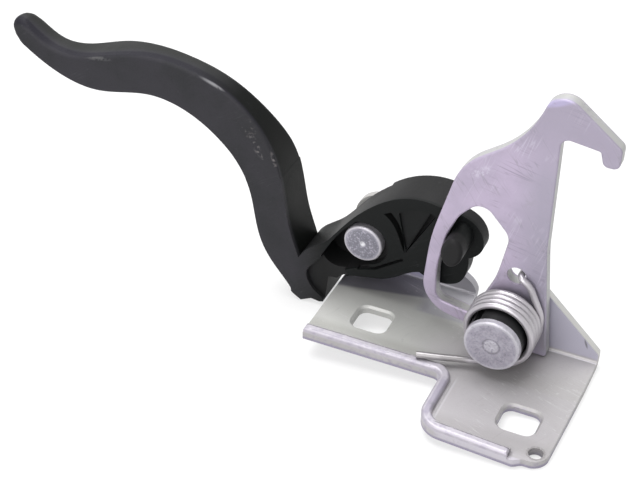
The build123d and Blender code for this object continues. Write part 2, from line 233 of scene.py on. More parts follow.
def buildRingGroup():
    # A ring about one axis, with its edges broken by noise
    group, ins, outs = newGroup(
        "ringMask",
        [("Vector", "NodeSocketVector", None), ("Place", "NodeSocketVector", (0, 0, 0)),
         ("Across", "NodeSocketVector", (1, 0, 1)), ("Inner", "NodeSocketFloat", 0.001),
         ("Outer", "NodeSocketFloat", 0.002), ("Soft", "NodeSocketFloat", 0.0002),
         ("Cut", "NodeSocketFloat", 0.4)],
        [("Mask", "NodeSocketFloat")])
    away = addVector(group, "SUBTRACT", ins["Vector"], ins["Place"])
    far = addVector(group, "LENGTH", addVector(group, "MULTIPLY", away, ins["Across"]), None, "Value")
    band = addBetween(group, far, ins["Inner"], ins["Outer"], ins["Soft"])
    noise = addNoise(group, ins["Vector"], effectValues["ringGrain"], "rings")
    broken = addBroken(group, noise, ins["Cut"], effectValues["ringSharp"])
    group.links.new(addMath(group, "MULTIPLY", band, broken), outs["Mask"])
    return group


def buildGrainGroup():
    # Two sizes of surface grain as a height
    group, ins, outs = newGroup(
        "surfaceGrain",
        [("Vector", "NodeSocketVector", None), ("Fine", "NodeSocketFloat", 2200.0),
         ("Coarse", "NodeSocketFloat", 260.0), ("Coarse Share", "NodeSocketFloat", 0.5)],
        [("Height", "NodeSocketFloat")])
    fine = addNoise(group, ins["Vector"], ins["Fine"], "fineGrain")
    coarse = addNoise(group, ins["Vector"], ins["Coarse"], "coarseGrain")
    scaled = addMath(group, "MULTIPLY", coarse, ins["Coarse Share"])
    group.links.new(addMath(group, "ADD", fine, scaled), outs["Height"])
    return group


cloudyTone = buildCloudyGroup()
rubAndGlintMark = buildRubAndGlintGroup()
drawnScratches = buildScratchGroup()
bandMask = buildBandGroup()
ringMask = buildRingGroup()
surfaceGrain = buildGrainGroup()
print("shared effects built")


def useGroup(tree, group, vector, values):
    node = tree.nodes.new("ShaderNodeGroup")
    node.node_tree = group
    tree.links.new(vector, node.inputs["Vector"])
    for label, value in values.items():
        node.inputs[label].default_value = value
    return node.outputs


def inMetres(values):
    return tuple(number * mm for number in values)


def maskOfBands(tree, coords, bands, amount):
    # Each band is a direction, the two planes across it and how soft they are, in millimetres
    mask = amount
    for direction, low, high, soft in bands:
        band = useGroup(tree, bandMask, coords, {
            "Direction": direction, "Low": low * mm, "High": high * mm, "Soft": soft * mm})
        mask = addMath(tree, "MULTIPLY", band["Mask"], mask)
    return mask


def makeSurface(name, look):
    mat = bpy.data.materials.new(name)
    mat.use_nodes = True
    tree = mat.node_tree
    shader = tree.nodes["Principled BSDF"]
    coords = tree.nodes.new("ShaderNodeTexCoord").outputs["Object"]
    tone = useGroup(tree, cloudyTone, coords, {
        "Base": (*look["base"], 1), "Dark": (*look["dark"], 1), "Cloud Scale": look["cloudScale"],
        "Cloud Amount": look["cloud"], "Speck Scale": look["speckScale"], "Speck Amount": look["speck"]})
    color = tone["Color"]
    for tint in look.get("tints", []):
        mask = maskOfBands(tree, coords, tint["bands"], tint["amount"])
        if "cut" in tint:
            noise = addNoise(tree, coords, tint.get("grain", effectValues["tintGrain"]), "tints")
            broken = addBroken(tree, noise, tint["cut"], effectValues["tintSharp"])
            mask = addMath(tree, "MULTIPLY", mask, broken)
        color = addMix(tree, mask, color, (*tint["color"], 1))
    for ring in look.get("rings", []):
        band = useGroup(tree, ringMask, coords, {
            "Place": inMetres(ring["place"]), "Across": ring["across"], "Inner": ring["inner"] * mm,
            "Outer": ring["outer"] * mm, "Soft": ring["soft"] * mm, "Cut": ring["cut"]})
        within = maskOfBands(tree, coords, ring.get("bands", []), ring["amount"])
        mask = addMath(tree, "MULTIPLY", band["Mask"], within)
        color = addMix(tree, mask, color, (*ring["color"], 1))
    for cut in look.get("scratches", []):
        lines = useGroup(tree, drawnScratches, coords, {
            "Turn": tuple(math.radians(angle) for angle in cut["turn"]), "Stretch": cut["stretch"],
            "Width": cut["width"], "Patch": cut["patch"]})
        mask = addMath(tree, "MULTIPLY", lines["Mask"], cut["amount"])
        color = addMix(tree, mask, color, (*cut["color"], 1))
    for rubAndGlint in look.get("rubsAndGlints", []):
        spot = useGroup(tree, rubAndGlintMark, coords, {
            "Place": inMetres(rubAndGlint["place"]), "Reach": inMetres(rubAndGlint["reach"]),
            "Turn": (0, math.radians(rubAndGlint.get("turn", 0)), 0), "Grain": rubAndGlint["grain"], "Cut": rubAndGlint["cut"]})
        mask = addMath(tree, "MULTIPLY", spot["Mask"], rubAndGlint["amount"])
        color = addMix(tree, mask, color, (*rubAndGlint["color"], 1))
    tree.links.new(color, shader.inputs["Base Color"])
    rough = addRange(tree, tone["Mask"], 0.0, 1.0, look["rough"], look["rough"] + look["roughSpread"])
    tree.links.new(rough, shader.inputs["Roughness"])
    shader.inputs["Metallic"].default_value = look["metal"]
    shader.inputs["Specular IOR Level"].default_value = look["specular"]
    grain = useGroup(tree, surfaceGrain, coords, {
        "Fine": look["grainFine"], "Coarse": look["grainCoarse"]})
    bump = tree.nodes.new("ShaderNodeBump")
    bump.inputs["Strength"].default_value = look["bump"]
    bump.inputs["Distance"].default_value = effectValues["bumpDepth"] * mm
    tree.links.new(grain["Height"], bump.inputs["Height"])
    tree.links.new(bump.outputs["Normal"], shader.inputs["Normal"])
    return mat


meshValues = {"weld": 0.001, "flatAngle": 0.5, "evenWeight": 60, "capNear": 0.02, "capFacing": -0.9999,
              "tiny": 1e-9}


def copyNode(nodeName, pieceName, material):
    # A merged copy of a node, with its flat faces joined up
    piece = bpy.data.objects.new(pieceName, frame["nodes"][nodeName].data.copy())
    bpy.context.scene.collection.objects.link(piece)
    makeActive(piece)
    bpy.ops.mesh.customdata_custom_splitnormals_clear()
    bpy.ops.object.mode_set(mode="EDIT")
    bpy.ops.mesh.select_all(action="SELECT")
    bpy.ops.mesh.remove_doubles(threshold=meshValues["weld"] * mm)
    bpy.ops.mesh.dissolve_limited(angle_limit=math.radians(meshValues["flatAngle"]))
    bpy.ops.object.mode_set(mode="OBJECT")
    piece.data.materials.clear()
    piece.data.materials.append(material)
    nodeData = frame["nodes"][nodeName].data
    nodeData.materials.clear()
    nodeData.materials.append(material)
    return piece


def easeEdges(piece, finish):
    makeActive(piece)
    ease = piece.modifiers.new("ease", "BEVEL")
    ease.limit_method = "ANGLE"
    ease.angle_limit = math.radians(finish["sharp"])
    ease.width = finish["ease"] * mm
    ease.segments = finish["steps"]
    bpy.ops.object.modifier_apply(modifier="ease")


def smoothPiece(piece, finish):
    makeActive(piece)
    bpy.ops.object.shade_smooth_by_angle(angle=math.radians(finish["smooth"]))
    even = piece.modifiers.new("even", "WEIGHTED_NORMAL")
    even.keep_sharp = True
    even.weight = meshValues["evenWeight"]
    bpy.ops.object.modifier_apply(modifier="even")


def closeCap(piece, finish):
    # Takes the solid's own recess out of the front cap and closes the rim with one flat face
    makeActive(piece)
    inside, deep = finish["recess"]
    for spot in piece.data.vertices:
        away = math.hypot(spot.co.x - finish["pivot"][0] * mm, spot.co.z - finish["pivot"][2] * mm)
        spot.select = abs(spot.co.y - finish["capY"] * mm) < deep * mm and away < inside * mm
    for part in (piece.data.edges, piece.data.polygons):
        part.foreach_set("select", [False] * len(part))
    bpy.ops.object.mode_set(mode="EDIT")
    bpy.ops.mesh.select_mode(type="VERT")
    bpy.ops.mesh.delete(type="VERT")
    bpy.ops.mesh.select_non_manifold()
    bpy.ops.mesh.edge_face_add()
    bpy.ops.object.mode_set(mode="OBJECT")


def coinCap(piece, finish):
    # Sinks rings into the flat front cap: each coin gives the new radius and how far it moves
    makeActive(piece)
    mesh = piece.data
    mesh.vertices.foreach_set("select", [False] * len(mesh.vertices))
    mesh.edges.foreach_set("select", [False] * len(mesh.edges))
    for face in mesh.polygons:
        near = abs(face.center.y - finish["capY"] * mm) < meshValues["capNear"] * mm
        face.select = near and face.normal.y < meshValues["capFacing"]
    bpy.ops.object.mode_set(mode="EDIT")
    bpy.ops.mesh.select_mode(type="FACE")
    middle = (finish["pivot"][0] * mm, finish["capY"] * mm, finish["pivot"][2] * mm)
    radius = finish["capRadius"]
    for newRadius, push in finish["coins"]:
        bpy.ops.mesh.extrude_region_move()
        share = newRadius / radius
        bpy.ops.transform.resize(value=(share, 1, share), center_override=middle)
        bpy.ops.transform.translate(value=(0, push * mm, 0))
        radius = newRadius
    bpy.ops.object.mode_set(mode="OBJECT")


def placePiece(nodeName):
    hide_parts(nodeName)


lipZone = (alongY, -40, -9, 1)
leftCrest = [(alongZ, 2.9, 5, 0.2), (alongX, -60, -15, 1)]
frontCrest = [(alongZ, 2.9, 5, 0.2), (alongX, -7, 30, 1)]
bracketLook = {
    "base": (0.365, 0.352, 0.357), "dark": (0.285, 0.28, 0.27), "cloudScale": 42.0, "cloud": 0.45,
    "speckScale": 1300.0, "speck": 0.14, "rough": 0.42, "roughSpread": 0.14, "metal": 0.35, "specular": 0.5,
    "grainFine": 2000.0, "grainCoarse": 240.0, "bump": 0.12,
    "tints": [
        # Left half of the plate is greener and duller than the front, partly its own tone and partly painted
        # reflection
        {"bands": [(alongX, -60, -16, 22), (alongY, -10.5, 26, 3)], "color": (0.415, 0.42, 0.40),
         "amount": 0.85},
        # Ear beside the hook
        {"bands": [(alongY, 9.8, 10.15, 0.1), (alongZ, 3.5, 40, 0.8)], "color": (0.41, 0.40, 0.48),
         "amount": 0.9},
        # Sheared edges of both ears
        {"bands": [(alongY, 10.35, 12.3, 0.1), (alongZ, 4.5, 40, 0.6)], "color": (0.52, 0.52, 0.50),
         "amount": 0.85},
        {"bands": [(alongY, 25.1, 27.1, 0.1), (alongZ, 4.5, 40, 0.6)], "color": (0.40, 0.39, 0.38),
         "amount": 0.85},
        # Painted highlight along the fold line of the ear
        {"bands": [(alongY, 9.1, 9.5, 0.15), (alongZ, 2.3, 3.3, 0.2), (alongX, 11, 30, 2)],
         "color": (0.62, 0.61, 0.64), "amount": 0.8},
        # Lip: lilac crest and outer face, mottled
        {"bands": [lipZone, (alongZ, 2.6, 5, 0.3)], "color": (0.40, 0.375, 0.43), "amount": 0.8},
        {"bands": [lipZone, (alongZ, 3.9, 5, 0.3)], "color": (0.41, 0.39, 0.43), "amount": 0.85},
        {"bands": [lipZone, (alongZ, 2.8, 5, 0.2)], "color": (0.29, 0.27, 0.33), "amount": 0.6,
         "cut": 0.48, "grain": 500.0},
        {"bands": [lipZone, (alongZ, 0.6, 2.1, 0.2)], "color": (0.24, 0.22, 0.28), "amount": 0.6,
         "cut": 0.48, "grain": 500.0},
        # Painted light: the outer faces of both lips are painted lighter
        {"bands": [(alongY, -20, -14.2, 0.3), (alongZ, 0.9, 2.9, 0.4), (alongX, -80, -10, 1)],
         "color": (0.47, 0.45, 0.50), "amount": 0.7},
        {"bands": [(alongY, -40, -36.6, 0.3), (alongZ, 0.9, 2.9, 0.4), (alongX, -12, 30, 1)],
         "color": (0.47, 0.45, 0.50), "amount": 0.7},
        # Painted shade as a dark line along the left crest, and a duller plate just behind the lip
        {"bands": [(alongY, -13.4, -13.05, 0.12), (alongZ, 3.8, 5, 0.2), (alongX, -80, -16, 1)],
         "color": (0.20, 0.19, 0.22), "amount": 0.7, "cut": 0.3},
        {"bands": [(alongY, -11.5, -6, 2.5), (alongZ, 2.3, 2.7, 0.15), (alongX, -80, -17, 2)],
         "color": (0.31, 0.31, 0.29), "amount": 0.7},
        {"bands": [(alongY, -34.5, -29, 2.5), (alongZ, 2.3, 2.7, 0.15), (alongX, -8.4, 30, 0.5)],
         "color": (0.295, 0.285, 0.285), "amount": 0.6},
        # Painted shade and painted highlight: a dark line at the inner foot of each crest and a light line
        # beside it
        {"bands": [(alongY, -11.75, -11.4, 0.12), *leftCrest], "color": (0.15, 0.145, 0.15), "amount": 0.85,
         "cut": 0.3},
        {"bands": [(alongY, -11.35, -11.0, 0.12), *leftCrest], "color": (0.68, 0.66, 0.68), "amount": 0.8},
        {"bands": [((0.06, 1, 0), -34.9, -34.55, 0.12), *frontCrest], "color": (0.15, 0.145, 0.15),
         "amount": 0.85, "cut": 0.3},
        {"bands": [((0.06, 1, 0), -34.5, -34.15, 0.12), *frontCrest], "color": (0.68, 0.66, 0.68),
         "amount": 0.8},
        # Painted shade on the inner side of the short run between both crests and on the lower edge of the
        # lip
        {"bands": [(alongX, -11.4, -9.6, 0.3), (alongY, -33, -17, 2), (alongZ, 2.9, 5, 0.2)],
         "color": (0.27, 0.25, 0.31), "amount": 0.75},
        {"bands": [lipZone, (alongZ, -0.5, 0.9, 0.6)], "color": (0.22, 0.20, 0.28), "amount": 0.85},
        # Painted shadow on the plate under the lever, painted lilac reflection on the fold behind it,
        # painted shade on the ear by the hook
        {"bands": [((-0.2, 1, 0), 22.6, 60, 1.2), (alongZ, -1, 3.2, 0.5), (alongX, -60, -29, 4)],
         "color": (0.13, 0.125, 0.155), "amount": 0.85},
        {"bands": [(alongY, 18, 30, 2), (alongZ, 3.2, 14, 1), (alongX, -50, -30, 3)],
         "color": (0.40, 0.37, 0.56), "amount": 0.7},
        {"bands": [(alongY, 10, 30, 1), (alongZ, -1, 24, 1), (alongX, -30, -13, 3)],
         "color": (0.26, 0.255, 0.30), "amount": 0.6},
        # Painted shade and painted highlight as a faint dark and light line pressed beside the lip
        {"bands": [(alongX, -8.75, -8.4, 0.15), (alongY, -32, -14, 3), (alongZ, 2.4, 2.6, 0.1)],
         "color": (0.24, 0.235, 0.24), "amount": 0.5, "cut": 0.4},
        {"bands": [(alongX, -8.3, -7.8, 0.2), (alongY, -32, -14, 3), (alongZ, 2.4, 2.6, 0.1)],
         "color": (0.46, 0.45, 0.48), "amount": 0.5},
    ],
    "rings": [
        # Dark ring round the rim of the corner hole
        {"place": (21.9, -32.7, 2.5), "across": (1, 1, 0), "inner": 2.0, "outer": 2.75, "soft": 0.3,
         "cut": 0.35, "color": (0.20, 0.19, 0.19), "amount": 0.7},
    ],
    "scratches": [
        {"turn": (0, 0, 20), "stretch": (60.0, 900.0, 900.0), "width": 0.012, "patch": 60.0,
         "color": (0.56, 0.55, 0.57), "amount": 0.45},
        {"turn": (0, 0, -65), "stretch": (45.0, 700.0, 700.0), "width": 0.010, "patch": 90.0,
         "color": (0.27, 0.26, 0.26), "amount": 0.4},
    ],
    "rubsAndGlints": [
        {"place": (22.4, 10.0, 8.2), "reach": (0.45, 1.0, 2.2), "turn": 20, "grain": 900.0, "cut": 0.3,
         "color": (0.12, 0.12, 0.13), "amount": 0.8},
        {"place": (-10.0, -28.0, 2.9), "reach": (1.4, 2.0, 3.0), "grain": 700.0, "cut": 0.42,
         "color": (0.2, 0.19, 0.2), "amount": 0.5},
        {"place": (15.6, -36.0, 3.2), "reach": (1.2, 3.0, 2.0), "grain": 900.0, "cut": 0.4,
         "color": (0.22, 0.21, 0.22), "amount": 0.7},
    ],
}
bracketFinish = {"node": "bracket", "piece": "bracketFinished", "slot": "bracket_steel", "ease": 0.28,
                 "steps": 2, "sharp": 30, "smooth": 34}
bracket = copyNode(bracketFinish["node"], bracketFinish["piece"], makeSurface("plateZinc", bracketLook))
easeEdges(bracket, bracketFinish)
smoothPiece(bracket, bracketFinish)
placePiece(bracketFinish["node"])
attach(bracket, bodyOf[bracketFinish["node"]])
print("bracket finished")

hookLook = {
    "base": (0.405, 0.348, 0.455), "dark": (0.315, 0.283, 0.36), "cloudScale": 75.0, "cloud": 0.6,
    "speckScale": 1500.0, "speck": 0.12, "rough": 0.46, "roughSpread": 0.12, "metal": 0.3, "specular": 0.5,
    "grainFine": 2200.0, "grainCoarse": 300.0, "bump": 0.14,
    "tints": [
        # Beak and stem are duller than the broad middle
        {"bands": [((0.2, 0, 1), 74, 120, 16)], "color": (0.285, 0.262, 0.325), "amount": 0.8},
        {"bands": [(alongX, 1.5, 30, 8), (alongZ, 0, 70, 14)], "color": (0.29, 0.272, 0.335), "amount": 0.8},
        # Sheared side faces
        {"bands": [(alongY, 6.2, 9.0, 0.25)], "color": (0.40, 0.405, 0.39), "amount": 0.9},
    ],
    "scratches": [
        {"turn": (0, 78, 0), "stretch": (700.0, 700.0, 40.0), "width": 0.035, "patch": 90.0,
         "color": (0.25, 0.225, 0.28), "amount": 0.75},
        {"turn": (0, 35, 0), "stretch": (600.0, 600.0, 60.0), "width": 0.03, "patch": 120.0,
         "color": (0.25, 0.235, 0.27), "amount": 0.6},
        {"turn": (0, -20, 0), "stretch": (520.0, 520.0, 36.0), "width": 0.035, "patch": 80.0,
         "color": (0.52, 0.48, 0.58), "amount": 0.4},
    ],
    "rubsAndGlints": [
        {"place": (-12.0, 5.6, 61.0), "reach": (5.0, 3.0, 2.2), "turn": 30, "grain": 900.0, "cut": 0.46,
         "color": (0.60, 0.57, 0.66), "amount": 0.4},
        {"place": (6.5, 5.6, 87.6), "reach": (7.0, 3.0, 1.4), "turn": 20, "grain": 500.0, "cut": 0.34,
         "color": (0.42, 0.38, 0.60), "amount": 0.55},
        {"place": (3.0, 5.6, 55.0), "reach": (3.0, 3.0, 3.0), "turn": 0, "grain": 800.0, "cut": 0.48,
         "color": (0.30, 0.28, 0.33), "amount": 0.5},
        {"place": (12.0, 5.6, 9.0), "reach": (4.0, 5.0, 6.0), "turn": 0, "grain": 500.0, "cut": 0.30,
         "color": (0.26, 0.25, 0.28), "amount": 0.6},
    ],
}
hookFinish = {"node": "catch_hook", "piece": "hookFinished", "slot": "hook_steel", "smooth": 32}
hook = copyNode(hookFinish["node"], hookFinish["piece"], makeSurface("hookZinc", hookLook))
smoothPiece(hook, hookFinish)
placePiece(hookFinish["node"])
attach(hook, bodyOf[hookFinish["node"]])
print("hook finished")

leverLook = {
    "base": (0.030, 0.029, 0.034), "dark": (0.021, 0.022, 0.023), "cloudScale": 60.0, "cloud": 0.6,
    "speckScale": 1800.0, "speck": 0.25, "rough": 0.46, "roughSpread": 0.12, "metal": 0.0,
    "specular": 0.10,
    "grainFine": 2600.0, "grainCoarse": 320.0, "bump": 0.16,
    "tints": [
        # Painted shade: body and arm are painted blacker than the handle, most of all in front, where the
        # hook and plate shade them
        {"bands": [(alongX, -67, 20, 10)], "color": (0.013, 0.013, 0.013), "amount": 0.9},
        {"bands": [(alongX, -63, 20, 6), (alongY, 5, 11.2, 0.6)], "color": (0.006, 0.007, 0.007),
         "amount": 0.9},
        # Painted shade: a darker stripe behind the handle's front edge, a dark back near the root and a
        # duller back further up the handle
        {"bands": [(alongY, 11.0, 13.4, 0.7), (alongX, -175, -80, 12)], "color": (0.010, 0.009, 0.015),
         "amount": 0.7},
        {"bands": [(alongY, 11.6, 30, 0.9), (alongX, -98, -62, 16)], "color": (0.003, 0.0035, 0.003),
         "amount": 0.95},
        {"bands": [(alongY, 14.5, 30, 2), (alongX, -175, -98, 10)], "color": (0.019, 0.02, 0.018),
         "amount": 0.7},
    ],
    "scratches": [
        {"turn": (0, 35, 0), "stretch": (45.0, 900.0, 900.0), "width": 0.010, "patch": 70.0,
         "color": (0.06, 0.06, 0.064), "amount": 0.3},
    ],
    "rubsAndGlints": [
        # The first three are painted highlights along the handle's front-top edge; the rest are rub marks on
        # the root
        {"place": (-95.6, 10.7, 63.9), "reach": (8.0, 0.8, 0.9), "turn": -18, "grain": 500.0, "cut": 0.36,
         "color": (0.22, 0.22, 0.23), "amount": 0.8},
        {"place": (-109.5, 10.6, 71.0), "reach": (4.5, 1.6, 1.3), "turn": -28, "grain": 600.0, "cut": 0.42,
         "color": (0.14, 0.14, 0.15), "amount": 0.6},
        {"place": (-137.5, 10.3, 63.5), "reach": (7.0, 1.0, 1.0), "turn": 8, "grain": 500.0, "cut": 0.42,
         "color": (0.10, 0.10, 0.10), "amount": 0.6},
        {"place": (-83.6, 10.3, 46.6), "reach": (1.6, 1.0, 6.0), "turn": 25, "grain": 700.0, "cut": 0.5,
         "color": (0.16, 0.15, 0.15), "amount": 0.7},
        {"place": (-77.8, 10.3, 43.2), "reach": (0.9, 1.0, 4.0), "turn": 15, "grain": 700.0, "cut": 0.47,
         "color": (0.16, 0.15, 0.15), "amount": 0.7},
        {"place": (-86.5, 10.3, 52.0), "reach": (5.0, 1.0, 4.0), "turn": 30, "grain": 900.0, "cut": 0.56,
         "color": (0.12, 0.11, 0.11), "amount": 0.6},
    ],
}
leverFinish = {
    "node": "release_lever", "piece": "leverFinished", "slot": "lever_plastic", "ease": 0.35, "steps": 2,
    "sharp": 28, "smooth": 36,
    # The handle is walked from the root to the tip, and skinned anew with round corners
    "start": (-77.5, 16.5), "ahead": (-0.22, 0.97), "frontY": 10.3, "halfDepth": 3.5, "stride": 1.5,
    "mostStations": 200, "stopAt": 0.12, "tipStride": 0.16, "steady": 2, "rayShare": 0.8, "joinZ": 35.0,
    "evenings": 3,
    "corners": {"frontTop": 1.2, "backTop": 2.4, "backLow": 1.2, "frontLow": 0.6}, "joinCorner": 0.3,
    "fuller": {"backTop": 0.45, "frontLow": 0.25}, "joinRun": 16.0, "cornerSteps": 6, "cornerLimit": 0.98,
    "tipRun": 4.2, "tipRamp": 1.5, "tipPull": 1.6, "tipSide": -158.0,
}
archValues = {"step": 20.3, "front": 11.0, "from": -44.5, "to": -24.0, "low": 36.0, "near": 0.03,
              "behind": 0.5, "onBack": 0.15}


def walkHandle(source, values):
    # Stations along the handle: middle, direction, half height, back edges and way left to the tip
    def reach(place, way):
        hit, where, normal, index = source.ray_cast(place, way)
        return (where - place).length if hit else 0.0

    middleY = (values["frontY"] + values["halfDepth"]) * mm
    place = Vector((values["start"][0] * mm, middleY, values["start"][1] * mm))
    way = Vector((values["ahead"][0], 0, values["ahead"][1])).normalized()
    stations = []
    for count in range(values["mostStations"]):
        side = Vector((way.z, 0, -way.x))
        left = reach(place, way)
        near = place.x < values["tipSide"] * mm and left < values["tipRun"] * mm
        if left < values["stopAt"] * mm:
            break
        if not near:
            place = place + side * (reach(place, side) - reach(place, -side)) / 2
            if stations:
                gone = (place - stations[-1]["place"]).normalized()
                way = (way + gone * values["steady"]).normalized()
                side = Vector((way.z, 0, -way.x))
        half = min(reach(place, side), reach(place, -side)) if near else reach(place, side)
        share = values["rayShare"]
        rear = [place.y + reach(place + side * half * part, Vector(alongY)) for part in (-share, share)]
        lean = (rear[1] - rear[0]) / (2 * share)
        stations.append({"place": place.copy(), "way": way.copy(), "half": half, "left": reach(place, way),
                         "backUp": sum(rear) / 2 + lean, "backLow": sum(rear) / 2 - lean})
        place = place + way * (left * values["tipStride"] if near else values["stride"] * mm)
    return stations


def skinHandle(stations, values):
    # A tube of rounded sections through the stations, closed at both ends
    tipFrom = values["tipRun"] * mm
    joinAt = stations[0]["place"]
    spots, faces, ringSize = [], [], 0
    for station in stations:
        side = Vector((station["way"].z, 0, -station["way"].x))
        front, backUp, backLow = values["frontY"] * mm, station["backUp"], station["backLow"]
        half = station["half"]
        onTip = station["place"].x < values["tipSide"] * mm
        if onTip and station["left"] < tipFrom:
            gone = 1 - station["left"] / tipFrom
            share = math.sqrt(max(0.0, 1 - gone * gone))
            middle = (front + (backUp + backLow) / 2) / 2
            front, backUp, backLow = [middle + (edge - middle) * share for edge in (front, backUp, backLow)]
        fade = min(1.0, (station["place"] - joinAt).length / (values["joinRun"] * mm))
        ends = {name: (values["joinCorner"] + (size - values["joinCorner"]) * fade) * mm
                for name, size in values["corners"].items()}
        tipShare = max(0.0, 1 - station["left"] / (values["tipRamp"] * tipFrom)) if onTip else 0.0
        limit = values["cornerLimit"] * min(half, (min(backUp, backLow) - front) / 2)
        pull = min(1.0, tipShare * values["tipPull"])
        for name in ends:
            ends[name] = min(limit, ends[name] + (limit - ends[name]) * pull)
        ring = []
        for name, cornerY, inY, cornerUp, begin in (
                ("frontTop", front, 1, 1, 180), ("backTop", backUp, -1, 1, 90),
                ("backLow", backLow, -1, -1, 0), ("frontLow", front, 1, -1, -90)):
            size = ends[name]
            full = values["fuller"].get(name, 0.0) * fade * (1 - tipShare) * mm
            for step in range(values["cornerSteps"] + 1):
                angle = math.radians(begin - 90 * step / values["cornerSteps"])
                y = cornerY + inY * (size - full) + math.cos(angle) * size
                rise = cornerUp * (half - size + full) + math.sin(angle) * size
                ring.append(station["place"] + side * rise + Vector((0, y - station["place"].y, 0)))
        ringSize = len(ring)
        spots += ring
    count = len(spots) // ringSize
    for row in range(count - 1):
        for place in range(ringSize):
            after = (place + 1) % ringSize
            faces.append((row * ringSize + place, row * ringSize + after,
                          (row + 1) * ringSize + after, (row + 1) * ringSize + place))
    faces.append(tuple(range(ringSize)))
    faces.append(tuple(reversed(range((count - 1) * ringSize, count * ringSize))))
    mesh = bpy.data.meshes.new("handleSkin")
    mesh.from_pydata(spots, [], faces)
    handle = bpy.data.objects.new("handleSkin", mesh)
    bpy.context.scene.collection.objects.link(handle)
    makeActive(handle)
    bpy.ops.object.mode_set(mode="EDIT")
    bpy.ops.mesh.select_all(action="SELECT")
    bpy.ops.mesh.normals_make_consistent(inside=False)
    bpy.ops.object.mode_set(mode="OBJECT")
    return handle


def evenStations(stations):
    # Each station moves towards the mean of its neighbours
    old = [dict(station) for station in stations]
    for before, here, after, station in zip(old, old[1:], old[2:], stations[1:]):
        for name in ("place", "half", "backUp", "backLow"):
            station[name] = (before[name] + here[name] * 2 + after[name]) / 4
        station["way"] = (before["way"] + here["way"] * 2 + after["way"]).normalized()


def heightAt(line, x):
    for left, right in zip(line, line[1:]):
        if left.x <= x <= right.x:
            return left.z + (right.z - left.z) * (x - left.x) / max(meshValues["tiny"], right.x - left.x)
    return None


def fairArch(piece, values):
    # Lifts the arch's back towards the pad behind it, so that both run in one sweep without a step
    step, front, near = values["step"] * mm, values["front"] * mm, values["near"] * mm
    shape = bmesh.new()
    shape.from_mesh(piece.data)
    onStep = [spot for spot in shape.verts
              if abs(spot.co.y - step) < near and values["from"] * mm < spot.co.x < values["to"] * mm
              and spot.co.z > values["low"] * mm]
    walls = [face for face in shape.faces if all(spot in onStep for spot in face.verts)]
    behind = step + values["behind"] * mm
    top = [spot for spot in onStep
           if max(edge.other_vert(spot).co.y for edge in spot.link_edges) > behind]
    foot = [spot for spot in onStep if spot not in top]
    top.sort(key=lambda spot: spot.co.x)
    foot.sort(key=lambda spot: spot.co.x)
    footLine = [top[0].co.copy()] + [spot.co.copy() for spot in foot]
    topLine = [spot.co.copy() for spot in top]
    for spot in shape.verts:
        low, high = heightAt(footLine, spot.co.x), heightAt(topLine, spot.co.x)
        if low is None or high is None or not front < spot.co.y < step - near:
            continue
        if abs(spot.co.z - low) <= values["onBack"] * mm:
            spot.co.z += (high - low) * (spot.co.y - front) / (step - front)
    print("arch faired:", len(walls), "walls,", len(foot), "foot and", len(top), "top places")
    if len(foot) == len(top) - 1:
        bmesh.ops.delete(shape, geom=walls, context="FACES_ONLY")
        for spot, goal in zip(foot, topLine[1:]):
            spot.co = goal
        bmesh.ops.remove_doubles(shape, verts=shape.verts, dist=meshValues["weld"] * mm)
    shape.to_mesh(piece.data)
    shape.free()


leverBlack = makeSurface("leverBlack", leverLook)
lever = copyNode(leverFinish["node"], leverFinish["piece"], leverBlack)
fairArch(lever, archValues)
stations = walkHandle(lever, leverFinish)
joinAbove = leverFinish["joinZ"] * mm
joinCount = min(count for count, station in enumerate(stations) if station["place"].z > joinAbove)
join = stations[joinCount]
print("handle walked in", len(stations), "stations, joined at", joinCount)
for evening in range(leverFinish["evenings"]):
    evenStations(stations)
handle = skinHandle(stations[joinCount:], leverFinish)
makeActive(lever)
bpy.ops.object.mode_set(mode="EDIT")
bpy.ops.mesh.select_all(action="SELECT")
bpy.ops.mesh.bisect(plane_co=join["place"], plane_no=join["way"], use_fill=True, clear_outer=True)
bpy.ops.object.mode_set(mode="OBJECT")
easeEdges(lever, leverFinish)
handle.data.materials.append(leverBlack)
makeActive(lever)
handle.select_set(True)
bpy.ops.object.join()
smoothPiece(lever, leverFinish)
placePiece(leverFinish["node"])
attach(lever, bodyOf[leverFinish["node"]])
print("lever finished")

